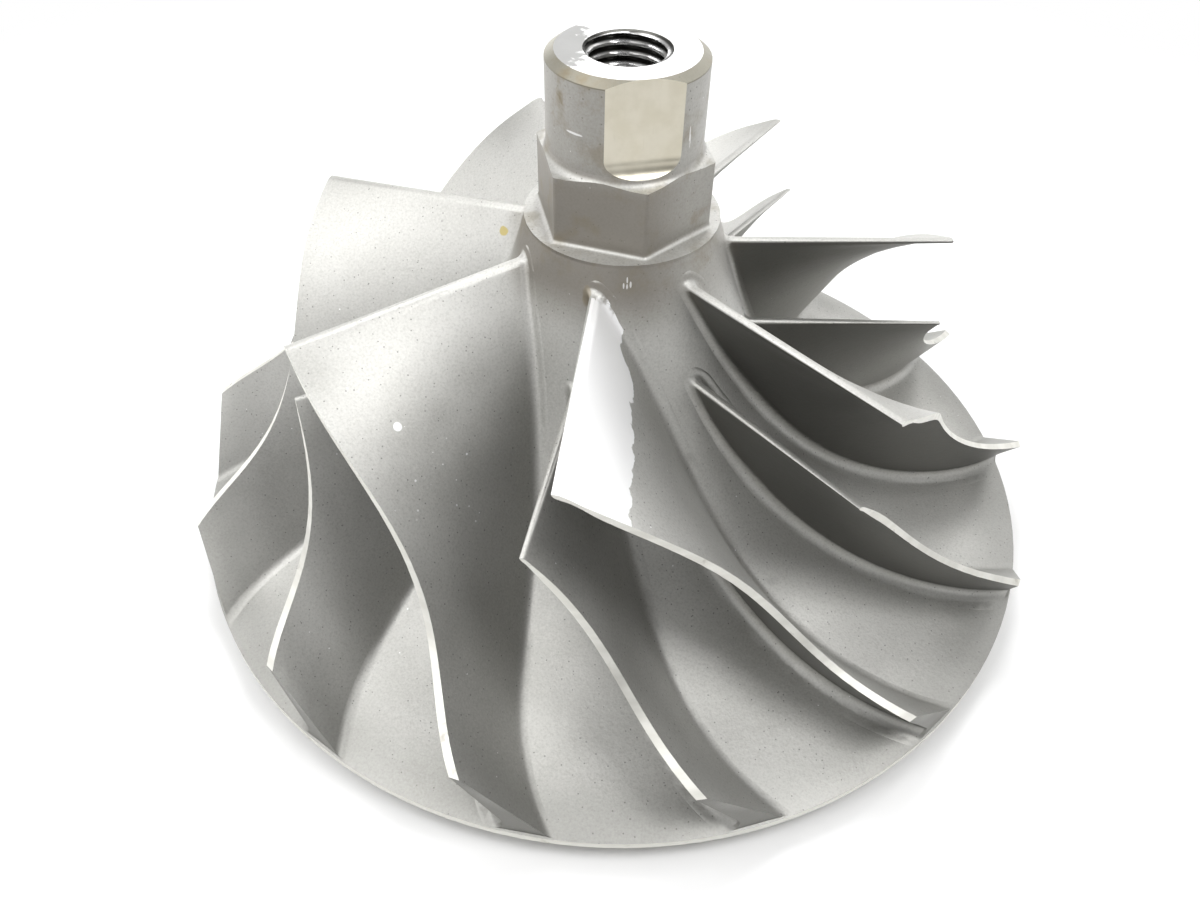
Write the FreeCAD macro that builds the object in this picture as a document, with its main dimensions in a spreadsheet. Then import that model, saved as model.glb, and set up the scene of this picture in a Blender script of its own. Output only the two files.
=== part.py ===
import FreeCAD, Part
import Sketcher
import math
import os

# Compressor wheel of a turbocharger: one aluminium casting, machined afterwards on
# the rim, the blade tips, the nose, the spanner hexagon and the bore.
# Millimetres. +Z points to the nose; the origin is the middle of the rear hub face.

doc = FreeCAD.newDocument("compressor_wheel")
sheet = doc.addObject("Spreadsheet::Sheet", "Sizes")

SIZES = [
    # hub and rim
    ("wheel_dia", 120.0, "outside diameter over the blade outlets"),
    ("rim_underside", 3.0, "rear hub face to the underside of the rim"),
    ("rim_thickness", 1.0, "thickness of the disc at its rim"),
    ("rear_face_dia", 36.0, "flat rear hub face"),
    ("rear_step", 1.2, "height of the rear hub face above the back of the disc"),
    ("hub_length", 48.0, "rear hub face to the collar under the hexagon"),
    ("collar_dia", 24.2, "collar under the hexagon"),
    ("collar_edge", 0.4, "plain edge of the collar"),
    ("hub_cone_angle", 14.2, "slope of the hub to the axis, just under the collar"),
    ("hub_cone_reach", 47.8, "length of the control arm on that slope"),
    ("hub_floor_angle", 17.2, "slope of the hub floor to the rim plane, at the rim"),
    ("hub_floor_reach", 12.8, "length of the control arm on that slope"),
    # nose
    ("hex_flats", 19.0, "spanner hexagon across flats"),
    ("hex_azimuth", -75.5, "direction of one corner of the hexagon"),
    ("hex_edge_radius", 0.5, "rounding of the upright edges of the hexagon"),
    ("hex_foot_radius", 0.6, "fillet between the hexagon and the collar"),
    ("hex_top", 56.3, "height of the corners of the hexagon"),
    ("shoulder_radius", 1.1, "fillet from the hexagon to the round nose"),
    ("nose_dia", 18.4, "turned nose"),
    ("nose_top", 67.9, "height of the nose face"),
    ("nose_face_dia", 16.3, "flat nose face inside its chamfer"),
    ("nose_chamfer", 0.75, "height of that chamfer"),
    ("relief_depth", 1.1, "depth of the balancing flat ground into the nose"),
    ("relief_foot", 59.1, "height where the balancing flat starts to run out"),
    ("relief_radius", 2.4, "radius of that run-out"),
    # bore
    ("thread_minor_dia", 8.65, "minor diameter of the M10 x 1.25 thread in the nose"),
    ("thread_length", 20.0, "length of that thread"),
    ("mouth_dia", 10.0, "shallow countersink at the thread's mouth"),
    ("mouth_depth", 0.3, "depth of that countersink"),
    ("bore_dia", 12.0, "plain pilot bore for the shaft"),
    # blades
    ("full_blades", 7, "full blades, with as many splitters between them"),
    ("blade_azimuth", -96.9, "direction of the first full blade's outlet root"),
    ("inlet_dia", 86.3, "diameter over the blade inlets"),
    ("inlet_tip_height", 42.6, "height of the inlet tips"),
    ("shroud_straight_end", 35.4, "height where the straight stretch of the tips ends"),
    ("shroud_inlet_reach", 18.8, "length of the control arm below that stretch"),
    ("outlet_tip_dia", 119.2, "diameter over the outlet tips"),
    ("outlet_tip_height", 12.9, "height of the outlet tips"),
    ("shroud_outlet_angle", 37.2, "slope of the tips to the rim plane, at the outlet"),
    ("shroud_outlet_reach", 4.4, "length of the control arm on that slope"),
    ("root_start", 0.053, "share of the hub curve ahead of the full blades"),
    ("splitter_root_start", 0.184, "share of a full blade's root ahead of a splitter"),
    ("splitter_tip_start", 0.283, "share of a full blade's tip ahead of a splitter"),
    # blade wrap: four control angles along the root and along the tip
    ("root_wrap_1", -56.3, "root, at the inlet"),
    ("root_wrap_2", -7.7, "root, first third"),
    ("root_wrap_3", -16.4, "root, second third"),
    ("root_wrap_4", 0.0, "root, at the outlet"),
    ("tip_wrap_1", -51.6, "tip, at the inlet"),
    ("tip_wrap_2", -19.7, "tip, first third"),
    ("tip_wrap_3", -17.3, "tip, second third"),
    ("tip_wrap_4", -8.3, "tip, at the outlet"),
    # blade thickness
    ("root_thickness", 2.5, "blade at its root"),
    ("tip_thickness", 0.85, "blade at its tip"),
    ("inlet_thinning", 0.5, "share of the thickness left at the inlet edge"),
    ("thinning_length", 0.16, "share of the blade over which it thins"),
    ("root_fillet", 1.4, "fillet between blade and hub"),
    ("inlet_fillet", 0.9, "the same fillet at the inlet edge"),
]

sheet.set("A1", "name")
sheet.set("B1", "value")
sheet.set("C1", "meaning")
for row, (alias, value, meaning) in enumerate(SIZES, start=2):
    sheet.set("A%d" % row, alias)
    sheet.set("B%d" % row, repr(value))
    sheet.set("C%d" % row, meaning)
    sheet.setAlias("B%d" % row, alias)
doc.recompute()


def size(alias):
    """Value of one driving dimension, read from the sheet."""
    return float(sheet.get(alias))


def value_of(formula):
    """Number a formula over the sheet stands for."""
    return float(sheet.evalExpression(formula))


# ---------------------------------------------------------------- meridian curves
# The hub floor and the blade tips are each one smooth curve in the (radius, height)
# plane, given by its two ends, the slope there and how far that slope reaches.

def step_from(start, angle, length):
    """Point a given length away from start, at an angle in degrees to the radius."""
    turn = math.radians(angle)
    return start + FreeCAD.Vector(length * math.cos(turn), length * math.sin(turn), 0)


def smooth_curve(poles):
    """B-spline with the shape of one Bezier stretch."""
    curve = Part.BezierCurve()
    curve.setPoles(poles)
    return curve.toBSpline()


rim_top = size("rim_underside") + size("rim_thickness")
collar_foot = FreeCAD.Vector(size("collar_dia") / 2, size("hub_length") - size("collar_edge"), 0)
rim_edge = FreeCAD.Vector(size("wheel_dia") / 2, rim_top, 0)
hub_curve = smooth_curve([
    collar_foot,
    step_from(collar_foot, size("hub_cone_angle") - 90, size("hub_cone_reach")),
    step_from(rim_edge, 180 - size("hub_floor_angle"), size("hub_floor_reach")),
    rim_edge,
])

inlet_tip = FreeCAD.Vector(size("inlet_dia") / 2, size("inlet_tip_height"), 0)
bend_start = FreeCAD.Vector(size("inlet_dia") / 2, size("shroud_straight_end"), 0)
outlet_tip = FreeCAD.Vector(size("outlet_tip_dia") / 2, size("outlet_tip_height"), 0)
shroud_curve = smooth_curve([
    bend_start,
    step_from(bend_start, -90, size("shroud_inlet_reach")),
    step_from(outlet_tip, 180 - size("shroud_outlet_angle"), size("shroud_outlet_reach")),
    outlet_tip,
])

# ---------------------------------------------------------------- turned core
# Hub disc, spanner hexagon, nose and bore, in the order they are machined.

core = doc.addObject("PartDesign::Body", "core")


def add_sketch(name, plane):
    """Empty sketch of the core on one of its origin planes."""
    sketch = core.newObject("Sketcher::SketchObject", name)
    for item in core.Origin.OriginFeatures:
        if item.Role == plane:
            sketch.AttachmentSupport = [(item, "")]
    sketch.MapMode = "FlatFace"
    return sketch


def tie(sketch, kind, *targets, formula):
    """Add one constraint and drive it by a formula over the sheet."""
    index = sketch.addConstraint(Sketcher.Constraint(kind, *targets, value_of(formula)))
    sketch.setExpression("Constraints[%d]" % index, formula)


def draw_outline(sketch, corners, bends=None):
    """Closed outline through corners given as formulas.

    bends maps the index of an element to the curve used there instead of a
    straight line; an arc also brings the formula of its radius.
    """
    bends = bends or {}
    points = [FreeCAD.Vector(value_of(x), value_of(y), 0) for x, y in corners]
    count = len(points)
    for index in range(count):
        straight = Part.LineSegment(points[index], points[(index + 1) % count])
        geometry, radius = bends.get(index, (straight, None))
        sketch.addGeometry(geometry, False)
        if radius:
            tie(sketch, "Radius", index, formula=radius)
    for index, (x, y) in enumerate(corners):
        before = (index - 1) % count
        ends = end_near(sketch, before, points[index]), end_near(sketch, index, points[index])
        sketch.addConstraint(Sketcher.Constraint("Coincident", before, ends[0], index, ends[1]))
        tie(sketch, "DistanceX", -1, 1, index, ends[1], formula=x)
        tie(sketch, "DistanceY", -1, 1, index, ends[1], formula=y)


def end_near(sketch, index, point):
    """1 if the element starts at the point, 2 if it ends there."""
    return 1 if sketch.Geometry[index].StartPoint.distanceToPoint(point) < 1e-6 else 2


def turn(kind, name, sketch):
    """Revolve a sketch round the wheel's axis, adding or cutting."""
    feature = core.newObject("PartDesign::" + kind, name)
    feature.Profile = sketch
    feature.ReferenceAxis = (sketch, ["V_Axis"])
    feature.Angle = 360
    doc.recompute()
    return feature


def quarter_arc(centre, radius, start, end):
    """Arc about a centre between two angles in degrees, counter-clockwise."""
    circle = Part.Circle(centre, FreeCAD.Vector(0, 0, 1), radius)
    return Part.ArcOfCircle(circle, math.radians(start), math.radians(end))


# Disc and hub up to the collar.
hub_profile = add_sketch("hub_profile", "XZ_Plane")
RIM_TOP = "Sizes.rim_underside + Sizes.rim_thickness"
draw_outline(hub_profile, [
    ("0", "0"),
    ("Sizes.rear_face_dia / 2", "0"),
    ("Sizes.rear_face_dia / 2 + Sizes.rear_step", "Sizes.rear_step"),
    ("Sizes.wheel_dia / 2", "Sizes.rim_underside"),
    ("Sizes.wheel_dia / 2", RIM_TOP),
    ("Sizes.collar_dia / 2", "Sizes.hub_length - Sizes.collar_edge"),
    ("Sizes.collar_dia / 2", "Sizes.hub_length"),
    ("0", "Sizes.hub_length"),
], {4: (hub_curve, None)})
hub = turn("Revolution", "hub", hub_profile)

# Hexagon, left long enough to turn the nose from it.
hex_profile = add_sketch("hex_profile", "XY_Plane")
hex_profile.setExpression(".AttachmentOffset.Base.z", "Sizes.hub_length - 1")
HEX_CORNER = "Sizes.hex_flats / sqrt(3) * %s(Sizes.hex_azimuth + %d)"
draw_outline(hex_profile, [(HEX_CORNER % ("cos", 60 * k), HEX_CORNER % ("sin", 60 * k))
                           for k in range(6)])
hexagon = core.newObject("PartDesign::Pad", "hexagon")
hexagon.Profile = hex_profile
hexagon.setExpression("Length", "Sizes.nose_top - Sizes.hub_length + 1")
doc.recompute()


def edges_where(feature, test):
    """Names of a feature's edges that pass a test."""
    return ["Edge%d" % number for number, edge in enumerate(feature.Shape.Edges, start=1)
            if test(edge)]


def is_upright(edge):
    """True for the six long edges of the hexagon."""
    low, high = edge.BoundBox.ZMin, edge.BoundBox.ZMax
    off_axis = math.hypot(edge.CenterOfMass.x, edge.CenterOfMass.y) > size("hex_flats") / 2
    return off_axis and low > size("hub_length") - 0.01 and high - low > 5


def is_foot(edge):
    """True for the edges where the hexagon stands on the collar."""
    box = edge.BoundBox
    flat = box.ZLength < 1e-6 and abs(box.ZMin - size("hub_length")) < 1e-6
    return flat and box.XLength < size("hex_flats")


def add_fillet(name, base, test, radius):
    """Round the edges of a feature that pass a test."""
    fillet = core.newObject("PartDesign::Fillet", name)
    fillet.Base = (base, edges_where(base, test))
    fillet.setExpression("Radius", radius)
    doc.recompute()
    return fillet


hex_edges = add_fillet("hex_edges", hexagon, is_upright, "Sizes.hex_edge_radius")
hex_foot = add_fillet("hex_foot", hex_edges, is_foot, "Sizes.hex_foot_radius")

# Nose turned from the hexagon, with a fillet at the shoulder and a chamfer on top.
nose_profile = add_sketch("nose_profile", "XZ_Plane")
shoulder_centre = FreeCAD.Vector(size("nose_dia") / 2 + size("shoulder_radius"),
                                 size("hex_top") + size("shoulder_radius"), 0)
draw_outline(nose_profile, [
    ("Sizes.nose_face_dia / 2", "Sizes.nose_top"),
    ("Sizes.nose_dia / 2", "Sizes.nose_top - Sizes.nose_chamfer"),
    ("Sizes.nose_dia / 2", "Sizes.hex_top + Sizes.shoulder_radius"),
    ("Sizes.nose_dia / 2 + Sizes.shoulder_radius", "Sizes.hex_top"),
    ("Sizes.hex_flats", "Sizes.hex_top"),
    ("Sizes.hex_flats", "Sizes.nose_top + 1"),
    ("Sizes.nose_face_dia / 2", "Sizes.nose_top + 1"),
], {2: (quarter_arc(shoulder_centre, size("shoulder_radius"), 180, 270), "Sizes.shoulder_radius")})
nose = turn("Groove", "nose", nose_profile)

# Balancing flat ground into the nose over one corner of the hexagon.
relief_profile = add_sketch("relief_profile", "XZ_Plane")
relief_profile.AttachmentOffset = FreeCAD.Placement(
    FreeCAD.Vector(0, 0, 0), FreeCAD.Rotation(FreeCAD.Vector(0, 1, 0), size("hex_azimuth")))
FLAT = "Sizes.nose_dia / 2 - Sizes.relief_depth"
relief_centre = FreeCAD.Vector(value_of(FLAT) + size("relief_radius"), size("relief_foot"), 0)
draw_outline(relief_profile, [
    (FLAT, "Sizes.nose_top + 1"),
    (FLAT, "Sizes.relief_foot"),
    (FLAT + " + Sizes.relief_radius", "Sizes.relief_foot - Sizes.relief_radius"),
    (FLAT + " + Sizes.relief_radius", "Sizes.nose_top + 1"),
], {1: (quarter_arc(relief_centre, size("relief_radius"), 180, 270), "Sizes.relief_radius")})
relief = core.newObject("PartDesign::Pocket", "relief")
relief.Profile = relief_profile
relief.SideType = "Symmetric"
relief.setExpression("Length", "Sizes.nose_dia")
doc.recompute()

# Pilot bore for the shaft, narrowing to the threaded hole in the nose.
bore_profile = add_sketch("bore_profile", "XZ_Plane")
draw_outline(bore_profile, [
    ("0", "-1"),
    ("Sizes.bore_dia / 2 + 1.5", "-1"),
    ("Sizes.bore_dia / 2", "0.5"),
    ("Sizes.bore_dia / 2", "Sizes.nose_top - Sizes.thread_length - 1"),
    ("Sizes.thread_minor_dia / 2", "Sizes.nose_top - Sizes.thread_length"),
    ("Sizes.thread_minor_dia / 2", "Sizes.nose_top - Sizes.mouth_depth"),
    ("Sizes.mouth_dia / 2", "Sizes.nose_top"),
    ("Sizes.mouth_dia / 2", "Sizes.nose_top + 1"),
    ("0", "Sizes.nose_top + 1"),
])
bore = turn("Groove", "bore", bore_profile)

# ---------------------------------------------------------------- blades
# Every blade is swept by a straight line that runs from a curve on the hub to a curve
# on the shroud contour. The wrap angles turn that line about the axis as it travels
# from inlet to outlet. Thickness is laid off to both sides and round the inlet edge,
# and the fillet that widens the root to meet the hub is part of the same surface.

AXIS = FreeCAD.Vector(0, 0, 1)
# Stations of a blade: angles round its inlet edge, then shares of its travel to the
# outlet, set close together where it thickens.
NOSE_TURNS = (75, 40)
TRAVELS = (0, 0.02, 0.06, 0.13, 0.22, 0.32, 0.43, 0.54, 0.65, 0.77, 0.89, 1)
# The fillet's arc starts just off the hub, so that it cuts the hub at a clear angle,
# and the blade goes on below it by the sink.
FILLET_STEPS = 4
FIRST_FILLET_ANGLE = math.radians(16)
SINK = 0.35
# Blades end just inside the outside diameter of the disc.
LAST_SHARE = 0.997

hub_edges = [hub_curve.toShape()]
shroud_edges = [Part.makeLine(inlet_tip, bend_start), shroud_curve.toShape()]


def point_along(edges, share):
    """Point at a share of the length of a chain of edges."""
    distance = share * sum(edge.Length for edge in edges)
    for edge in edges:
        if distance <= edge.Length:
            break
        distance -= edge.Length
    distance = min(distance, edge.Length)
    return edge.valueAt(edge.getParameterByLength(distance))


def wrap_angle(place, share):
    """Wrap angle in degrees at a share of the length, for the root or the tip."""
    controls = [size("%s_wrap_%d" % (place, number)) for number in range(1, 5)]
    rest = 1 - share
    weights = [rest ** 3, 3 * rest ** 2 * share, 3 * rest * share ** 2, share ** 3]
    return sum(weight * control for weight, control in zip(weights, controls))


def flat_point(place, share):
    """Radius and height of a full blade's root or tip at a share of its length."""
    if place == "tip":
        return point_along(shroud_edges, share)
    return point_along(hub_edges, size("root_start") + (1 - size("root_start")) * share)


def camber_point(place, share):
    """Point of the blade's middle surface at its root or at its tip."""
    flat = flat_point(place, share)
    turn_angle = math.radians(size("blade_azimuth") + wrap_angle(place, share))
    return FreeCAD.Vector(flat.x * math.cos(turn_angle), flat.x * math.sin(turn_angle), flat.y)


def flow_direction(place, share):
    """Unit vector along the root or tip curve, towards the outlet."""
    step = 0.002
    ahead = camber_point(place, min(share + step, 1))
    behind = camber_point(place, max(share - step, 0))
    return (ahead - behind).normalize()


def around(point):
    """Unit vector round the axis at a point."""
    return AXIS.cross(FreeCAD.Vector(point.x, point.y, 0)).normalize()


def rotated(point, arc_length):
    """Point moved round the axis by a length of arc."""
    angle = math.degrees(arc_length / math.hypot(point.x, point.y))
    return FreeCAD.Rotation(AXIS, angle).multVec(point)


def swell(travel, first, last):
    """Value that swells from first to last behind the inlet edge, as an ellipse does."""
    reach = min(travel / size("thinning_length"), 1)
    return first + (last - first) * math.sin(reach * math.pi / 2)


def ease(travel, first, last):
    """Value that runs from first to last over twice that stretch, level at both ends."""
    reach = min(travel / size("thinning_length") / 2, 1)
    return first + (last - first) * reach ** 2 * (3 - 2 * reach)


def side_points(starts, side, travel, nose_turn=0):
    """One side of a blade at one station, from below the hub up to the tip.

    travel runs from 0 at the inlet edge to 1 at the outlet edge; starts holds the
    shares of a full blade's root and tip at which this blade begins. nose_turn is how
    far the station has gone round the inlet edge: 90 degrees would be its very front.
    """
    ahead = math.sin(math.radians(nose_turn))
    aside = side * math.cos(math.radians(nose_turn))
    root_share, tip_share = [start + (LAST_SHARE - start) * travel for start in starts]
    foot = camber_point("root", root_share)
    tip = camber_point("tip", tip_share)
    ruling = (tip - foot).normalize()
    flow = flow_direction("root", root_share)
    step = 0.002
    flat_step = flat_point("root", root_share + step) - flat_point("root", root_share - step)
    outward = FreeCAD.Vector(foot.x, foot.y, 0).normalize()
    along = (outward * flat_step.x + AXIS * flat_step.y).normalize()
    up = along.cross(around(foot))
    across = up.cross(flow).normalize()
    thinning = swell(travel, size("inlet_thinning"), 1)

    # Lean of the blade towards this side, and the fillet that fits the corner there.
    lean = side * ruling.dot(across) / ruling.dot(up) * ease(travel, 0, 1)
    radius = ease(travel, size("inlet_fillet"), size("root_fillet"))
    reach = radius * (lean + math.hypot(1, lean))
    half_root = size("root_thickness") * thinning / 2 * math.hypot(1, lean)
    last_angle = math.pi - math.atan2(1, lean)
    stretch = around(foot).dot(across)

    def on_side(height, offset):
        """Point at a height over the hub, offset sideways from the root line."""
        width = offset - lean * height
        middle = foot + ruling * (height / ruling.dot(up)) - flow * width * ahead
        return rotated(middle, aside * width / stretch)

    points = []
    for number in range(FILLET_STEPS + 1):
        angle = FIRST_FILLET_ANGLE + (last_angle - FIRST_FILLET_ANGLE) * number / FILLET_STEPS
        height = radius * (1 - math.cos(angle))
        offset = half_root + reach - radius * math.sin(angle)
        if number == 0:
            drop = height + SINK
            points.append(on_side(height - drop, offset + drop / math.tan(angle)))
        points.append(on_side(height, offset))

    # The tip, where the thickness is laid off square to the blade.
    tip_flow = flow_direction("tip", tip_share)
    square = ruling.cross(tip_flow).normalize()
    half_tip = size("tip_thickness") * thinning / 2
    tip_front = tip - tip_flow * half_tip * ahead
    points.append(rotated(tip_front, aside * half_tip / abs(square.dot(around(tip)))))
    return points


def side_faces(rows):
    """Faces of one side of a blade, and the edges where the other side joins on.

    One strip runs up from below the hub over the fillet, and a ruled flank goes on to
    the tip. Both are parted where the rounding of the inlet edge ends.
    """
    strip = Part.BSplineSurface()
    strip.interpolate([row[:-1] for row in rows])
    tip = Part.BSplineCurve()
    tip.interpolate([row[-1] for row in rows])
    low, high = strip.bounds()[2:]
    faces = []
    long_edges = []
    for first, last in ((1, len(NOSE_TURNS) + 1), (len(NOSE_TURNS) + 1, len(rows))):
        stretch = strip.copy()
        stretch.segment(strip.getUKnot(first), strip.getUKnot(last), low, high)
        tip_stretch = tip.copy()
        tip_stretch.segment(tip.getKnot(first), tip.getKnot(last))
        tip_edge = tip_stretch.toShape()
        faces += [stretch.toShape(), Part.makeRuledSurface(stretch.vIso(high).toShape(), tip_edge)]
        long_edges += [stretch.vIso(low).toShape(), tip_edge]
    end_edges = []
    for row, station in ((rows[0], strip.bounds()[0]), (rows[-1], strip.bounds()[1])):
        end_edges += [strip.uIso(station).toShape(), Part.makeLine(row[-2], row[-1])]
    return faces, long_edges + end_edges


def blade_solid(starts):
    """Solid of one blade, starting at given shares of a full blade's root and tip."""
    faces = []
    open_edges = []
    for side in (1, -1):
        rows = [side_points(starts, side, 0, nose_turn) for nose_turn in NOSE_TURNS]
        rows += [side_points(starts, side, travel) for travel in TRAVELS]
        side_shell, side_edges = side_faces(rows)
        faces += side_shell
        open_edges.append(side_edges)
    faces += [Part.makeRuledSurface(*pair) for pair in zip(*open_edges)]
    shell = Part.Shell(faces)
    shell.sewShape()
    solid = Part.Solid(shell)
    if solid.Volume < 0:
        solid.reverse()
    return solid


blades = []
blade_count = int(size("full_blades"))
pitch = 360 / blade_count
splitter_starts = size("splitter_root_start"), size("splitter_tip_start")
for kind, starts, lag in (("full_blade", (0.0, 0.0), 0.0), ("splitter", splitter_starts, 0.5)):
    solid = blade_solid(starts)
    for number in range(blade_count):
        blade = doc.addObject("Part::Feature", "%s_%d" % (kind, number + 1))
        blade.Shape = solid
        blade.Placement = FreeCAD.Placement(
            FreeCAD.Vector(0, 0, 0), FreeCAD.Rotation(AXIS, pitch * (number - lag)))
        blades.append(blade)

# ---------------------------------------------------------------- one casting

wheel = doc.addObject("Part::MultiFuse", "compressor_wheel")
wheel.Shapes = [core] + blades
doc.recompute()

for item in doc.Objects:
    if "Invalid" in item.State or "Error" in item.State:
        raise RuntimeError(item.Name + " failed")
for item in [core, wheel] + blades:
    if item.Shape.isNull() or not item.Shape.isValid():
        raise RuntimeError(item.Name + " has no valid shape")

casting = wheel.Shape.Solids[0] if len(wheel.Shape.Solids) == 1 else None
if casting is None:
    raise RuntimeError("the casting is not one solid")
os.makedirs("parts", exist_ok=True)
casting.exportStep("parts/compressor_wheel.step")
print("volume cm3", round(casting.Volume / 1000, 2))
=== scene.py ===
import bpy
import bmesh
import math
from mathutils import Matrix, Vector
from mathutils.geometry import interpolate_bezier, intersect_point_line


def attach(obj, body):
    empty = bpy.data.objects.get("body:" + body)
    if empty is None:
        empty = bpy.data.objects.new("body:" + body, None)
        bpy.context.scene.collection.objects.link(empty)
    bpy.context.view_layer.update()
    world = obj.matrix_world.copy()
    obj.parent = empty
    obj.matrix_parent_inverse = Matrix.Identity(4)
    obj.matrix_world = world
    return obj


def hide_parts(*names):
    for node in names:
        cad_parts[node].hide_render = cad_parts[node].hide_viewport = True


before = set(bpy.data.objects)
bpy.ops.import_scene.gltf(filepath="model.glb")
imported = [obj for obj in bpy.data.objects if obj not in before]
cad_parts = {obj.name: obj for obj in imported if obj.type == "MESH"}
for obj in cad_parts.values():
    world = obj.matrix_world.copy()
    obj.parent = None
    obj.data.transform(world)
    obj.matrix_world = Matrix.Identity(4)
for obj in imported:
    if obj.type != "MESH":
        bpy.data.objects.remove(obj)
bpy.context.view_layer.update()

MM = 0.001

# ---------------------------------------------------------------- wheel casting
# One aluminium casting: disc, hub, spanner hexagon, nose and fourteen blades.
# It is blasted all over, then turned on the blade tips, the rim, the back and the
# nose face, ground on the balancing flat and along the inlet of one blade.

RIM_RADIUS = 60 * MM
RIM_UNDERSIDE = 3 * MM
RIM_TOP = 4 * MM
REAR_STEP_RADIUS = 19.2 * MM
REAR_STEP_TOP = 1.2 * MM
NOSE_RADIUS = 9.2 * MM
NOSE_TOP = 67.9 * MM
NOSE_END = 0.4 * MM
THREAD_FOOT = 47.9 * MM
THREAD_MINOR = 4.325 * MM
THREAD_SEAT = 5.3 * MM
THREAD_MOUTH = 6.0 * MM
BORE_MOUTH = 8.2 * MM
FLAT_AZIMUTH = math.radians(-75.5)
FLAT_DIRECTION = Vector((math.cos(FLAT_AZIMUTH), math.sin(FLAT_AZIMUTH), 0))
FLAT_DEPTH = 1.1 * MM
FLAT_FOOT = 56.7 * MM
FLAT_SLACK = 0.05 * MM
FLAT_INSET = 0.02 * MM
INLET_RADIUS = 43.15 * MM
INLET_TOP = 43 * MM
INLET_BEND = 35.4 * MM
INLET_ARM = 18.8 * MM
OUTLET_TIP = Vector((59.6 * MM, 12.9 * MM, 0))
OUTLET_SLOPE = math.radians(37.2)
OUTLET_ARM = 4.4 * MM
TIP_LINE_POINTS = 60
SAME_POINT = 1e-7
NEAR = 0.1 * MM
TIP_SLACK = 0.08 * MM

cad_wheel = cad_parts["compressor_wheel"]
shell = bmesh.new()
shell.from_mesh(cad_wheel.data)
shell.faces.ensure_lookup_table()
normal_layer = shell.loops.layers.float_vector.new("surface_normal")
for face, polygon in zip(shell.faces, cad_wheel.data.polygons):
    for loop, corner in zip(face.loops, polygon.loop_indices):
        loop[normal_layer] = cad_wheel.data.corner_normals[corner].vector
bmesh.ops.remove_doubles(shell, verts=shell.verts, dist=SAME_POINT)

# The bore wall steps back to seat the thread.
for vert in shell.verts:
    radius = math.hypot(vert.co.x, vert.co.y)
    if radius < THREAD_MINOR + NEAR and vert.co.z > THREAD_FOOT - NEAR:
        vert.co.x *= THREAD_SEAT / radius
        vert.co.y *= THREAD_SEAT / radius

# The line that the blade tips are turned to, in the radius and height plane.
bend = Vector((INLET_RADIUS, INLET_BEND, 0))
bend_pull = bend - Vector((0, INLET_ARM, 0))
slope = Vector((-math.cos(OUTLET_SLOPE), math.sin(OUTLET_SLOPE), 0))
outlet_pull = OUTLET_TIP + OUTLET_ARM * slope
tip_line = [Vector((INLET_RADIUS, INLET_TOP, 0))]
tip_line += interpolate_bezier(bend, bend_pull, outlet_pull, OUTLET_TIP, TIP_LINE_POINTS)


def off_tip_line(vert):
    """Distance from a point of the casting to the line of the turned tips."""
    here = Vector((math.hypot(vert.co.x, vert.co.y), vert.co.z, 0))
    if here.x < INLET_RADIUS - MM or here.y < OUTLET_TIP.y - MM:
        return math.inf
    nearest = math.inf
    for start, end in zip(tip_line, tip_line[1:]):
        foot, share = intersect_point_line(here, start, end)
        foot = start.lerp(end, min(max(share, 0), 1))
        nearest = min(nearest, (here - foot).length)
    return nearest


CAST, TURNED, MILLED = 0, 1, 2
shell.verts.ensure_lookup_table()
on_tip = [off_tip_line(vert) < TIP_SLACK for vert in shell.verts]
ground_layer = shell.faces.layers.float.new("ground")
GROUND_NORMAL = Vector((0.65, 0, 0.76))
GROUND_FROM, GROUND_TO = -101, -80
GROUND_RADIUS = 43.3 * MM
GROUND_FOOT, GROUND_TOP = 36 * MM, 46 * MM
for face in shell.faces:
    face.smooth = True
    centre = face.calc_center_median()
    radius = math.hypot(centre.x, centre.y)
    azimuth = math.degrees(math.atan2(centre.y, centre.x))
    outward = (face.normal.x * centre.x + face.normal.y * centre.y) / max(radius, 1e-9)
    is_tip = all(on_tip[vert.index] for vert in face.verts)
    is_rim = radius > RIM_RADIUS - NEAR and centre.z < RIM_TOP
    is_back = face.normal.z < -0.9 and centre.z < RIM_UNDERSIDE + NEAR
    is_hub_step = centre.z < REAR_STEP_TOP + NEAR and radius < REAR_STEP_RADIUS + NEAR
    is_nose_end = (centre.z > NOSE_TOP - NOSE_END
                   and (face.normal.z > 0.9 or radius < THREAD_MOUTH))
    is_bore = radius < BORE_MOUTH and outward < 0.1 and centre.z < NOSE_TOP - NEAR
    off_flat = centre.dot(FLAT_DIRECTION) - (NOSE_RADIUS - FLAT_DEPTH)
    is_flat = (centre.z > FLAT_FOOT and face.normal.dot(FLAT_DIRECTION) > 0.05
               and off_flat > -FLAT_SLACK and radius < NOSE_RADIUS - FLAT_INSET)
    if is_tip or is_rim or is_back or is_hub_step or is_nose_end or is_bore:
        face.material_index = TURNED
    elif is_flat:
        face.material_index = MILLED
    else:
        face.material_index = CAST
    is_ground = (GROUND_FROM < azimuth < GROUND_TO and radius < GROUND_RADIUS
                 and GROUND_FOOT < centre.z < GROUND_TOP
                 and face.normal.dot(GROUND_NORMAL) > 0.5)
    face[ground_layer] = 1.0 if is_ground else 0.0

mesh = bpy.data.meshes.new("wheel_casting")
shell.to_mesh(mesh)
shell.free()
surface_normals = [item.vector.copy() for item in mesh.attributes["surface_normal"].data]
mesh.normals_split_custom_set(surface_normals)
mesh.attributes.remove(mesh.attributes["surface_normal"])
wheel = bpy.data.objects.new("wheel_casting", mesh)
bpy.context.scene.collection.objects.link(wheel)
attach(wheel, "root")
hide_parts("compressor_wheel")


def new_material(name):
    """Empty material with its tree and its Principled shader."""
    material = bpy.data.materials.new(name)
    material.use_nodes = True
    return material, material.node_tree, material.node_tree.nodes["Principled BSDF"]


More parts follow.
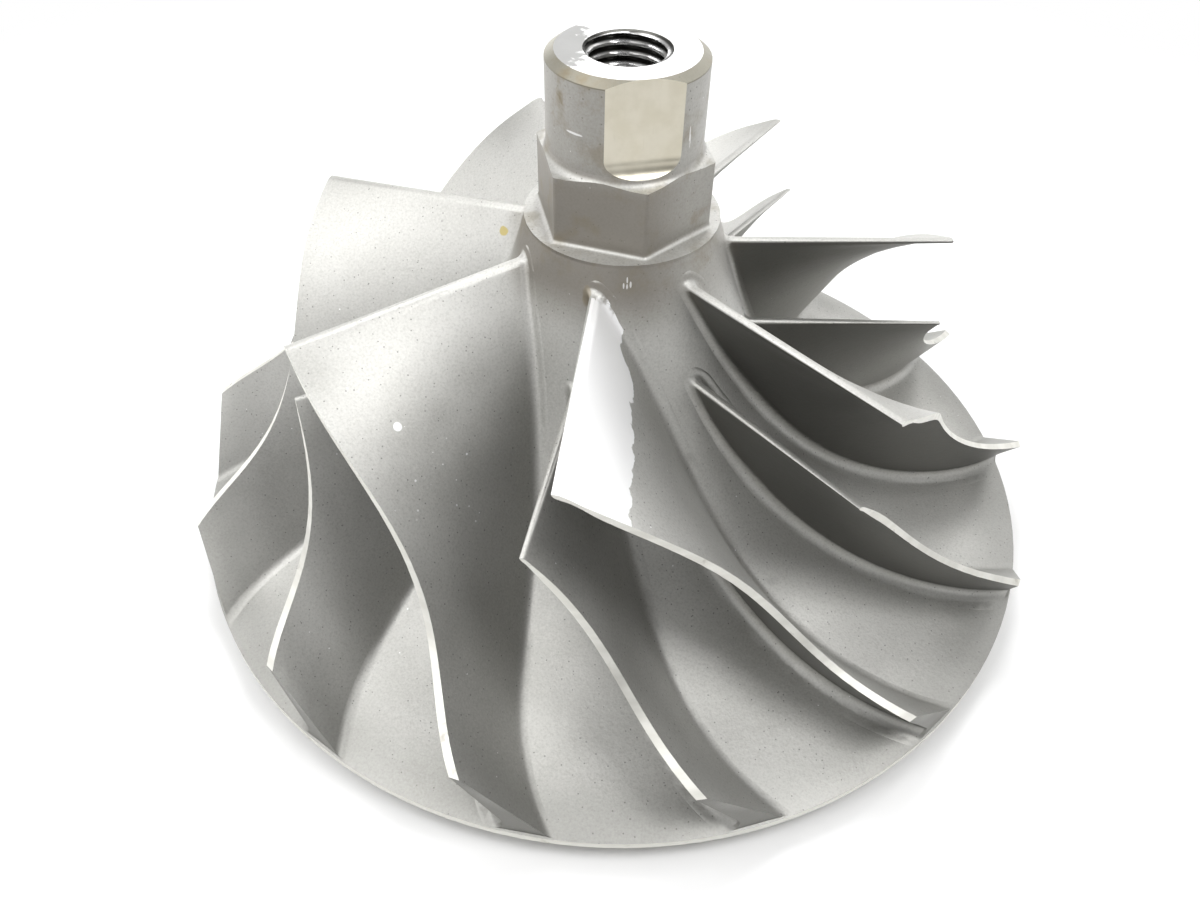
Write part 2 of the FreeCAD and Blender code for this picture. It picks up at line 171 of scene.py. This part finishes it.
def add_node(tree, kind, sockets=None, **settings):
    """Node of a kind; sockets are filled with values or linked, by name or number."""
    node = tree.nodes.new("ShaderNode" + kind)
    for key, value in settings.items():
        setattr(node, key, value)
    for key, value in (sockets or {}).items():
        if isinstance(value, bpy.types.NodeSocket):
            tree.links.new(value, node.inputs[key])
        else:
            node.inputs[key].default_value = value
    return node


def calc(tree, operation, first, second):
    """Result of one sum over two values."""
    return add_node(tree, "Math", {0: first, 1: second}, operation=operation).outputs[0]


def levels(tree, value, low, high, out_low=0.0, out_high=1.0):
    """Value spread smoothly from low..high to out_low..out_high."""
    sockets = {"Value": value, "From Min": low, "From Max": high,
               "To Min": out_low, "To Max": out_high}
    return add_node(tree, "MapRange", sockets, interpolation_type="SMOOTHSTEP").outputs[0]


def noise(tree, place, scale, detail, roughness=0.5):
    """Noise over the surface, 0 to 1 around 0.5."""
    sockets = {"Vector": place, "Scale": scale, "Detail": detail, "Roughness": roughness}
    return add_node(tree, "TexNoise", sockets).outputs["Fac"]


def cover(tree, mask, under, over):
    """Colour over laid on colour under where the mask is 1."""
    sockets = {0: mask, 6: under, 7: over}
    return add_node(tree, "Mix", sockets, data_type="RGBA").outputs[2]


def grey(level, warmth=0.0):
    """Near-neutral colour, a little yellower as warmth grows."""
    return (level * (1 + warmth / 3), level, level * (1 - 2 * warmth), 1)


def new_group(name, inputs, outputs):
    """Node group with named sockets; returns it with its input and output nodes."""
    group = bpy.data.node_groups.new(name, "ShaderNodeTree")
    for label, kind in inputs:
        group.interface.new_socket(label, in_out="INPUT", socket_type="NodeSocket" + kind)
    for label, kind in outputs:
        group.interface.new_socket(label, in_out="OUTPUT", socket_type="NodeSocket" + kind)
    return group, group.nodes.new("NodeGroupInput"), group.nodes.new("NodeGroupOutput")


def use_group(tree, group, sockets):
    """Outputs of a group placed in a tree, with its inputs filled or linked."""
    return add_node(tree, "Group", sockets, node_tree=group).outputs


# Distance of a point from the wheel's axis.
axis, axis_in, axis_out = new_group(
    "axis_distance", [("Place", "Vector")], [("Distance", "Float")])
parts = add_node(axis, "SeparateXYZ", {0: axis_in.outputs["Place"]}).outputs
across = add_node(axis, "CombineXYZ", {"X": parts["X"], "Y": parts["Y"]})
distance = add_node(axis, "VectorMath", {0: across.outputs[0]}, operation="LENGTH")
axis.links.new(distance.outputs["Value"], axis_out.inputs["Distance"])

# Round spots scattered over a surface: one chance in each cell, kept by a threshold.
spots, spots_in, spots_out = new_group(
    "scattered_spots",
    [("Place", "Vector"), ("Scale", "Float"), ("Radius", "Float"), ("Share", "Float")],
    [("Mask", "Float")])
cells = add_node(spots, "TexVoronoi", {"Vector": spots_in.outputs["Place"],
                                       "Scale": spots_in.outputs["Scale"]})
inside = calc(spots, "LESS_THAN", cells.outputs["Distance"], spots_in.outputs["Radius"])
lottery = add_node(spots, "SeparateColor", {0: cells.outputs["Color"]}).outputs[0]
kept = calc(spots, "LESS_THAN", lottery, spots_in.outputs["Share"])
spots.links.new(calc(spots, "MULTIPLY", inside, kept), spots_out.inputs["Mask"])

# A short mark: the stretch of surface within a radius of one point, ragged at its edge.
MARK_WOBBLE_SCALE = 900.0
MARK_EDGE = 1.1, 0.85
mark, mark_in, mark_out = new_group(
    "local_mark",
    [("Place", "Vector"), ("Centre", "Vector"), ("Stretch", "Vector"), ("Radius", "Float"),
     ("Ragged", "Float")],
    [("Mask", "Float")])
offset = add_node(mark, "VectorMath",
                  {0: mark_in.outputs["Place"], 1: mark_in.outputs["Centre"]},
                  operation="SUBTRACT")
scaled = add_node(mark, "VectorMath", {0: offset.outputs[0], 1: mark_in.outputs["Stretch"]},
                  operation="MULTIPLY")
reach = add_node(mark, "VectorMath", {0: scaled.outputs[0]}, operation="LENGTH")
wobble = noise(mark, mark_in.outputs["Place"], MARK_WOBBLE_SCALE, 3.0)
wobble = calc(mark, "SUBTRACT", wobble, 0.5)
wobble = calc(mark, "MULTIPLY", wobble, mark_in.outputs["Ragged"])
edge = calc(mark, "DIVIDE", reach.outputs["Value"], mark_in.outputs["Radius"])
edge = calc(mark, "ADD", edge, wobble)
mark.links.new(levels(mark, edge, *MARK_EDGE), mark_out.inputs["Mask"])


def local_mark(tree, place, centre, radius, ragged, stretch=(1, 1, 1)):
    """Mask of one mark, its centre and radius in millimetres.

    A stretch above 1 makes the mark shorter along that axis, and below 1 longer.
    """
    sockets = {"Place": place, "Centre": tuple(MM * c for c in centre),
               "Stretch": stretch, "Radius": radius * MM, "Ragged": ragged}
    return use_group(tree, mark, sockets)[0]


# Colours of the casting's skin and of what lies on it.
CAST_DARK = grey(0.47, 0.026)
CAST_LIGHT = grey(0.59, 0.02)
GRAIN_DARK = grey(0.24, 0.05)
GRAIN_LIGHT = grey(0.78, 0.03)
CAST_PIT = grey(0.12, 0.03)
CAST_SPECK = grey(0.92)
UNDERSIDE_SHADE = grey(0.1, 0.05)
RIM_SHADE = grey(0.16, 0.04)
OUTLET_SHADE = grey(0.18, 0.04)
NOSE_SHADE = (0.215, 0.193, 0.162, 1)
NOSE_STAIN = (0.25, 0.21, 0.14, 1)
CHAMFER_DIRT = (0.22, 0.205, 0.155, 1)
TAN = (0.52, 0.44, 0.2, 1)
SCRATCH = grey(0.9)
GROUND = grey(0.93)

# Places of the marks in millimetres.
WHITE_DOT = (-24.6, -26.3, 34.9)
SPECKLED_PATCH = (-18.5, -28.5, 27)
NOSE_TOP_STAIN = (-5.8, -7.1, 66.2)
COLLAR_STAIN = (-3.8, -12.8, 44.2)
TAN_SPOT = (-15.4, 4.3, 41.6)
LONG_SCRATCH = (-5.55, -7.3, 61.5)
NOSE_SCRATCHES = (7.1, -5.9, 61.1), (7.2, -5.8, 60.2)
COLLAR_SCRATCHES = ((0.9, -12.4, 46.1), (1.3, -12.5, 45.6), (0.5, -12.6, 45.4),
                    (0.9, -12.6, 45.0))

# Fineness of each pattern on the skin, in waves a metre.
CLOUD_SCALE = 45.0
GRAIN_SCALE = 3600.0
PEEL_SCALE = 1100.0
STAIN_SCALE = 260.0
BORDER_SCALE = 330.0

material, tree, shader = new_material("blasted_casting")
place = add_node(tree, "TexCoord").outputs["Object"]
where = add_node(tree, "SeparateXYZ", {0: place}).outputs
cloud = noise(tree, place, CLOUD_SCALE, 4.0)
grain = noise(tree, place, GRAIN_SCALE, 2.0, 0.6)
peel = noise(tree, place, PEEL_SCALE, 2.0)
colour = cover(tree, levels(tree, cloud, 0.3, 0.7), CAST_DARK, CAST_LIGHT)
colour = cover(tree, levels(tree, grain, 0.5, 0.68, 0.0, 0.2), colour, GRAIN_DARK)
colour = cover(tree, levels(tree, grain, 0.48, 0.32, 0.0, 0.15), colour, GRAIN_LIGHT)
pits = use_group(tree, spots, {"Place": place, "Scale": 1500.0, "Radius": 0.15, "Share": 0.3})[0]
colour = cover(tree, calc(tree, "MULTIPLY", pits, 0.6), colour, CAST_PIT)
shine = use_group(tree, spots, {"Place": place, "Scale": 500.0, "Radius": 0.05, "Share": 0.2})[0]
specks = use_group(tree, spots, {"Place": place, "Scale": 800.0, "Radius": 0.12, "Share": 0.5})[0]
specks = calc(tree, "MULTIPLY", specks, local_mark(tree, place, SPECKLED_PATCH, 6.5, 0.3))
shine = calc(tree, "MAXIMUM", shine, specks)
shine = calc(tree, "MAXIMUM", shine, local_mark(tree, place, WHITE_DOT, 0.55, 0.2))
colour = cover(tree, shine, colour, CAST_SPECK)

# Painted shade: the skin is coloured darker on the sides that face down, near the rim, on the
# outlet ends of the blades, and round the hexagon, the nose and the top of the hub.
facing_up = add_node(tree, "TexCoord").outputs["Normal"]
facing_up = add_node(tree, "SeparateXYZ", {0: facing_up}).outputs["Z"]
off_axis = use_group(tree, axis, {"Place": place})[0]
# Painted shade on faces that look down, weaker towards +Y; painted shade near the rim and on the
# outlet ends.
underside_painted_shade = levels(tree, facing_up, 0.08, -0.3, 0.0, 0.9)
underside_painted_shade = calc(tree, "MULTIPLY", underside_painted_shade, levels(tree, where["Y"], 0.0, 14 * MM, 1.0, 0.45))
rim_painted_shade = levels(tree, off_axis, 51 * MM, 58 * MM, 0.0, 0.38)
outlet_painted_shade = levels(tree, off_axis, 59.35 * MM, 59.5 * MM, 0.0, 0.8)
outlet_painted_shade = calc(tree, "MULTIPLY", outlet_painted_shade, levels(tree, facing_up, 0.75, 0.5))
near_axis = levels(tree, off_axis, 16.5 * MM, 14 * MM)
# Painted shade in a warm tint round the hexagon, the nose and the top of the hub, weaker on faces
# that look up and towards +X.
nose_painted_shade = levels(tree, where["Z"], 38 * MM, 45 * MM, 0.0, 0.78)
for fade in (levels(tree, where["Z"], 59 * MM, 55 * MM, 0.45, 1.0),
             near_axis,
             levels(tree, facing_up, 0.8, 0.35),
             levels(tree, where["X"], 2 * MM, 9 * MM, 1.0, 0.45)):
    nose_painted_shade = calc(tree, "MULTIPLY", nose_painted_shade, fade)
on_chamfer = levels(tree, where["Z"], NOSE_TOP - 0.95 * MM, NOSE_TOP - 0.85 * MM, 0.0, 0.8)
on_chamfer = calc(tree, "MULTIPLY", on_chamfer, near_axis)
colour = cover(tree, underside_painted_shade, colour, UNDERSIDE_SHADE)
colour = cover(tree, rim_painted_shade, colour, RIM_SHADE)
colour = cover(tree, outlet_painted_shade, colour, OUTLET_SHADE)
colour = cover(tree, nose_painted_shade, colour, NOSE_SHADE)
colour = cover(tree, on_chamfer, colour, CHAMFER_DIRT)

# Light brown stains round the top of the nose and under the collar, and a tan spot.
stain = levels(tree, noise(tree, place, STAIN_SCALE, 4.0, 0.6), 0.48, 0.72)
on_nose = levels(tree, where["Z"], 44 * MM, 46 * MM, 0.0, 0.45)
near_top = local_mark(tree, place, NOSE_TOP_STAIN, 2.6, 1.2)
under_collar = local_mark(tree, place, COLLAR_STAIN, 1.0, 0.9, (1.4, 1.4, 0.7))
colour = cover(tree, calc(tree, "MULTIPLY", under_collar, 0.6), colour, NOSE_STAIN)
stain = calc(tree, "MULTIPLY", stain, calc(tree, "MAXIMUM", on_nose, near_top))
colour = cover(tree, stain, colour, NOSE_STAIN)
colour = cover(tree, local_mark(tree, place, TAN_SPOT, 0.65, 0.8), colour, TAN)

# Scratches through the skin on the nose and just under the collar.
scratches = local_mark(tree, place, LONG_SCRATCH, 0.42, 1.5, (0.4, 0.4, 3.4))
for centre in NOSE_SCRATCHES + COLLAR_SCRATCHES:
    scratch = local_mark(tree, place, centre, 0.34, 1.6, (3.6, 3.6, 0.32))
    scratches = calc(tree, "MAXIMUM", scratches, scratch)
colour = cover(tree, calc(tree, "MULTIPLY", scratches, 0.75), colour, SCRATCH)

# The inlet of one blade ground bright, from its leading edge to a ragged line.
ragged = calc(tree, "SUBTRACT", noise(tree, place, BORDER_SCALE, 4.0), 0.5)
border = levels(tree, where["Y"], -20 * MM, -15.5 * MM, 2.1 * MM, 0.5 * MM)
border = calc(tree, "ADD", calc(tree, "MULTIPLY", ragged, 2.2 * MM), border)
ground = levels(tree, calc(tree, "SUBTRACT", border, where["X"]), 0.0, 0.1 * MM)
on_blade = add_node(tree, "Attribute", attribute_name="ground").outputs["Fac"]
worn = calc(tree, "ADD", where["Y"], calc(tree, "MULTIPLY", peel, 2.5 * MM))
worn = levels(tree, worn, -11.6 * MM, -12.6 * MM)
ground = calc(tree, "MULTIPLY", calc(tree, "MULTIPLY", ground, on_blade), worn)
colour = cover(tree, ground, colour, GROUND)
tree.links.new(colour, shader.inputs["Base Color"])

rough = levels(tree, cloud, 0.3, 0.7, 0.47, 0.53)
bared = calc(tree, "MAXIMUM", ground, scratches)
rough = add_node(tree, "Mix", {0: bared, 2: rough, 3: 0.42}).outputs[0]
tree.links.new(rough, shader.inputs["Roughness"])
metal = add_node(tree, "Mix", {0: ground, 2: 0.75, 3: 0.3}).outputs[0]
tree.links.new(metal, shader.inputs["Metallic"])
relief = calc(tree, "ADD", calc(tree, "MULTIPLY", grain, 0.5), peel)
relief = calc(tree, "MULTIPLY", relief, calc(tree, "SUBTRACT", 1.0, ground))
bump = add_node(tree, "Bump", {"Strength": 0.35, "Distance": 0.06 * MM, "Height": relief})
tree.links.new(bump.outputs["Normal"], shader.inputs["Normal"])
mesh.materials.append(material)

# Rings that the turning tool leaves: fine noise over radius and height only.
rings, rings_in, rings_out = new_group(
    "tool_rings", [("Place", "Vector"), ("Fineness", "Float")],
    [("Ridge", "Float"), ("Band", "Float")])
off_axis = use_group(rings, axis, {"Place": rings_in.outputs["Place"]})[0]
height = add_node(rings, "SeparateXYZ", {0: rings_in.outputs["Place"]}).outputs["Z"]
profile = add_node(rings, "CombineXYZ", {"X": off_axis, "Y": height}).outputs[0]
ridge = noise(rings, profile, rings_in.outputs["Fineness"], 2.0)
coarseness = calc(rings, "MULTIPLY", rings_in.outputs["Fineness"], 0.12)
band = noise(rings, profile, coarseness, 2.0)
rings.links.new(ridge, rings_out.inputs["Ridge"])
rings.links.new(band, rings_out.inputs["Band"])

TURNED_LIGHT = grey(0.78, 0.03)
TURNED_DARK = grey(0.70, 0.035)
TURNED_DIRT = (0.3, 0.27, 0.22, 1)
NOSE_FACE_HIGHLIGHT = grey(0.95, 0.005)
NOSE_FACE_DARK_REFLECTION = grey(0.3, 0.01)
DARK_REFLECTION_PATCH = (-7.6, 0.4, 67.9)

material, tree, shader = new_material("turned_aluminium")
place = add_node(tree, "TexCoord").outputs["Object"]
tool = use_group(tree, rings, {"Place": place, "Fineness": 5200.0})
smear = noise(tree, place, 420.0, 4.0, 0.6)
colour = cover(tree, levels(tree, tool["Band"], 0.35, 0.65), TURNED_DARK, TURNED_LIGHT)
dirt = levels(tree, smear, 0.6, 0.8, 0.0, 0.6)
colour = cover(tree, dirt, colour, TURNED_DIRT)
nicks = use_group(tree, spots, {"Place": place, "Scale": 700.0, "Radius": 0.16,
                                "Share": 0.16})[0]
colour = cover(tree, calc(tree, "MULTIPLY", nicks, 0.6), colour, TURNED_DIRT)

# Painted highlight: the nose face is coloured brighter than the other turned surfaces, with one
# patch at its side painted grey as a painted reflection.
height = add_node(tree, "SeparateXYZ", {0: place}).outputs["Z"]
on_face = levels(tree, height, NOSE_TOP - 0.1 * MM, NOSE_TOP - 0.05 * MM)
colour = cover(tree, on_face, colour, NOSE_FACE_HIGHLIGHT)
dark_reflection = local_mark(tree, place, DARK_REFLECTION_PATCH, 3.4, 1.6, (1, 0.5, 1))
dark_reflection = calc(tree, "MULTIPLY", calc(tree, "MULTIPLY", dark_reflection, on_face), 0.9)
colour = cover(tree, dark_reflection, colour, NOSE_FACE_DARK_REFLECTION)
tree.links.new(colour, shader.inputs["Base Color"])
tree.links.new(levels(tree, smear, 0.3, 0.75, 0.42, 0.56), shader.inputs["Roughness"])
metal = add_node(tree, "Mix", {0: on_face, 2: 0.75, 3: 0.35}).outputs[0]
tree.links.new(metal, shader.inputs["Metallic"])
bump = add_node(tree, "Bump", {"Strength": 0.3, "Distance": 0.02 * MM,
                               "Height": tool["Ridge"]})
tree.links.new(bump.outputs["Normal"], shader.inputs["Normal"])
mesh.materials.append(material)

# The balancing flat: ground smooth along the nose, a little yellowed.
MILLED_LIGHT = (0.73, 0.69, 0.58, 1)
MILLED_DARK = (0.62, 0.58, 0.47, 1)

material, tree, shader = new_material("milled_flat")
place = add_node(tree, "TexCoord").outputs["Object"]
drawn = add_node(tree, "Mapping", {"Vector": place, "Scale": (1, 1, 0.12)}).outputs[0]
streak = noise(tree, drawn, 2600.0, 3.0)
smear = noise(tree, place, 330.0, 4.0)
colour = cover(tree, levels(tree, smear, 0.3, 0.7), MILLED_DARK, MILLED_LIGHT)
colour = cover(tree, levels(tree, streak, 0.55, 0.75, 0.0, 0.4), colour, MILLED_DARK)
tree.links.new(colour, shader.inputs["Base Color"])
tree.links.new(levels(tree, smear, 0.3, 0.7, 0.28, 0.38), shader.inputs["Roughness"])
shader.inputs["Metallic"].default_value = 0.9
bump = add_node(tree, "Bump", {"Strength": 0.2, "Distance": 0.01 * MM, "Height": streak})
tree.links.new(bump.outputs["Normal"], shader.inputs["Normal"])
mesh.materials.append(material)

# ---------------------------------------------------------------- thread in the nose
# Right-handed M10 x 1.25 thread, tapped in the nose of the same casting after its
# countersink. It lines the bore as a sleeve, seated in the wall around it.

PITCH = 1.25 * MM
CREST = 4.33 * MM
ROOT = 4.98 * MM
SLEEVE_OUTSIDE = 5.42 * MM
SLEEVE_TOP = NOSE_TOP - 0.02 * MM
SLEEVE_FOOT = THREAD_FOOT + 0.05 * MM
STEPS_ROUND = 96
STEPS_PER_PITCH = 12
SHARP_ANGLE = math.radians(35)
THREAD_FLAT = 0.07
THREAD_FLANK = 0.31
MOUTH_RADIUS = 5.0 * MM
MOUTH_DEPTH = 0.3 * MM
MOUTH_SLOPE = (MOUTH_RADIUS - THREAD_MINOR) / MOUTH_DEPTH

thread = bmesh.new()
steps_up = round((SLEEVE_TOP - SLEEVE_FOOT) / PITCH * STEPS_PER_PITCH)
line = [thread.verts.new((CREST, 0, SLEEVE_FOOT))]
for step in range(1, steps_up + 1):
    height = SLEEVE_FOOT + step * (SLEEVE_TOP - SLEEVE_FOOT) / steps_up
    line.append(thread.verts.new((CREST, 0, height)))
line.append(thread.verts.new((SLEEVE_OUTSIDE, 0, SLEEVE_TOP)))
line.append(thread.verts.new((SLEEVE_OUTSIDE, 0, SLEEVE_FOOT)))
for first, second in zip(line, line[1:] + line[:1]):
    thread.edges.new((first, second))
bmesh.ops.spin(thread, geom=thread.verts[:] + thread.edges[:], cent=(0, 0, 0), axis=(0, 0, 1),
               angle=math.tau, steps=STEPS_ROUND, use_merge=True)


def thread_radius(turn, height):
    """Radius of the tapped wall: flanks at 60 degrees between flat crests and roots."""
    share = ((height - PITCH * turn / math.tau) / PITCH) % 1.0
    climb = min(max((abs(share - 0.5) - THREAD_FLAT) / THREAD_FLANK, 0), 1)
    return ROOT + (CREST - ROOT) * climb


for vert in thread.verts:
    radius = math.hypot(vert.co.x, vert.co.y)
    if radius < CREST + NEAR:
        cut = thread_radius(math.atan2(vert.co.y, vert.co.x), vert.co.z)
        sunk = MOUTH_RADIUS - (SLEEVE_TOP - vert.co.z) * MOUTH_SLOPE
        wanted = max(cut, sunk)
        vert.co.x *= wanted / radius
        vert.co.y *= wanted / radius
bmesh.ops.recalc_face_normals(thread, faces=thread.faces)
for face in thread.faces:
    face.smooth = True
mesh = bpy.data.meshes.new("nose_thread")
thread.to_mesh(mesh)
thread.free()
mesh.set_sharp_from_angle(angle=SHARP_ANGLE)
sleeve = bpy.data.objects.new("nose_thread", mesh)
bpy.context.scene.collection.objects.link(sleeve)
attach(sleeve, "root")

TAPPED_LIGHT = grey(0.8)
TAPPED_DARK = grey(0.5, 0.02)
THREAD_GROOVE_SHADE = grey(0.05, 0.05)

material, tree, shader = new_material("tapped_aluminium")
place = add_node(tree, "TexCoord").outputs["Object"]
smear = noise(tree, place, 400.0, 2.0)
colour = cover(tree, levels(tree, smear, 0.35, 0.7), TAPPED_LIGHT, TAPPED_DARK)

# Painted shade: near black in the grooves and in the countersink.
off_axis = use_group(tree, axis, {"Place": place})[0]
groove_shade = levels(tree, off_axis, CREST + 0.12 * MM, CREST + 0.4 * MM)
colour = cover(tree, groove_shade, colour, THREAD_GROOVE_SHADE)
tree.links.new(colour, shader.inputs["Base Color"])
tree.links.new(levels(tree, smear, 0.3, 0.7, 0.24, 0.34), shader.inputs["Roughness"])
shader.inputs["Metallic"].default_value = 0.9
mesh.materials.append(material)

# ---------------------------------------------------------------- table
# A sheet of smooth white paper, large enough to fill the view from every side.

TABLE_SIZE = 3.0
TABLE_DROP = 0.01 * MM
WHITE = (1, 1, 1, 1)
WHITE_FROM, WHITE_TO = 0.12, 0.24

bpy.ops.mesh.primitive_plane_add(size=TABLE_SIZE, location=(0, 0, -TABLE_DROP))
floor = bpy.context.object
floor.name = "floor"
material, tree, shader = new_material("white_paper")
shader.inputs["Base Color"].default_value = grey(0.93)
shader.inputs["Roughness"].default_value = 0.9
shader.inputs["Specular IOR Level"].default_value = 0.1

# Away from the wheel the eye sees the paper as plain white, out to the white room.
rays = add_node(tree, "LightPath")
place = add_node(tree, "NewGeometry").outputs["Position"]
far = add_node(tree, "VectorMath", {0: place}, operation="LENGTH").outputs["Value"]
far = levels(tree, far, WHITE_FROM, WHITE_TO)
far = calc(tree, "MULTIPLY", far, rays.outputs["Is Camera Ray"])
white = add_node(tree, "Emission", {"Color": WHITE, "Strength": 1.0})
blend = add_node(tree, "MixShader", {0: far, 1: shader.outputs[0], 2: white.outputs[0]})
tree.links.new(blend.outputs[0], tree.nodes["Material Output"].inputs["Surface"])
floor.data.materials.append(material)

# ---------------------------------------------------------------- light and camera
# Soft round lamps stand close round the wheel, most of them behind it. The room gives
# little light. It looks white to the camera and, near the horizon, in reflections.

DIM_LIGHT = 0.1
LAMP_DISTANCE = 0.3
LAMP_SIZE = 0.146
AIM = Vector((0, 0, 0.03))
# Name, compass direction clockwise from straight behind, height in degrees, power.
LAMPS = [
    ("back_top", 0, 62, 0.40),
    ("right_top", 120, 55, 0.42),
    ("left_top", 240, 58, 0.24),
    ("back_left_top", 300, 62, 0.16),
    ("front_left", 225, 35, 0.18),
    ("back_left_low", 337, 10, 0.14),
    ("back_right", 45, 35, 0.135),
    ("left", 270, 35, 0.108),
    ("left_low", 292, 10, 0.097),
    ("back_right_low", 22, 10, 0.072),
    ("right_low", 67, 10, 0.051),
    ("back_right_top", 60, 62, 0.039),
    ("front_top", 180, 62, 0.08),
]
for name, compass, rise, power in LAMPS:
    compass, rise = math.radians(compass), math.radians(rise)
    towards = Vector((math.sin(compass) * math.cos(rise), math.cos(compass) * math.cos(rise),
                      math.sin(rise)))
    data = bpy.data.lights.new(name, "AREA")
    data.shape = "DISK"
    data.size = LAMP_SIZE
    data.energy = power
    lamp = bpy.data.objects.new(name, data)
    bpy.context.scene.collection.objects.link(lamp)
    lamp.location = AIM + LAMP_DISTANCE * towards
    lamp.rotation_euler = (-towards).to_track_quat("-Z", "Y").to_euler()
    lamp.visible_camera = False

world = bpy.data.worlds.new("studio")
bpy.context.scene.world = world
world.use_nodes = True
tree = world.node_tree
rays = add_node(tree, "LightPath")
upward = add_node(tree, "SeparateXYZ", {0: add_node(tree, "TexCoord").outputs["Generated"]})
walls = levels(tree, upward.outputs["Z"], 0.5, 0.12)
mirrored = calc(tree, "MAXIMUM", rays.outputs["Is Glossy Ray"],
                rays.outputs["Is Transmission Ray"])
mirrored = calc(tree, "MULTIPLY", mirrored, walls)
seen = calc(tree, "MAXIMUM", rays.outputs["Is Camera Ray"], mirrored)
strength = calc(tree, "MAXIMUM", seen, DIM_LIGHT)
tree.links.new(strength, tree.nodes["Background"].inputs["Strength"])
tree.nodes["Background"].inputs["Color"].default_value = WHITE

camera_data = bpy.data.cameras.new("camera")
camera_data.lens = 28.66
camera_data.sensor_width = 36.0
camera_data.clip_start = 0.001
camera = bpy.data.objects.new("camera", camera_data)
bpy.context.scene.collection.objects.link(camera)
bpy.context.scene.camera = camera
CAMERA_PLACE = Vector((0.0, -0.10385, 0.11057))
TILT, TURN, ROLL = 0.7894, -0.0194, 0.024
ahead = Vector((math.sin(TURN) * math.cos(TILT), math.cos(TURN) * math.cos(TILT),
                -math.sin(TILT)))
level_right = Vector((math.cos(TURN), -math.sin(TURN), 0))
level_up = level_right.cross(ahead)
right = math.cos(ROLL) * level_right + math.sin(ROLL) * level_up
up = -math.sin(ROLL) * level_right + math.cos(ROLL) * level_up
camera.matrix_world = Matrix((
    (right.x, up.x, -ahead.x, CAMERA_PLACE.x),
    (right.y, up.y, -ahead.y, CAMERA_PLACE.y),
    (right.z, up.z, -ahead.z, CAMERA_PLACE.z),
    (0, 0, 0, 1)))

bpy.context.scene.view_settings.view_transform = "Standard"
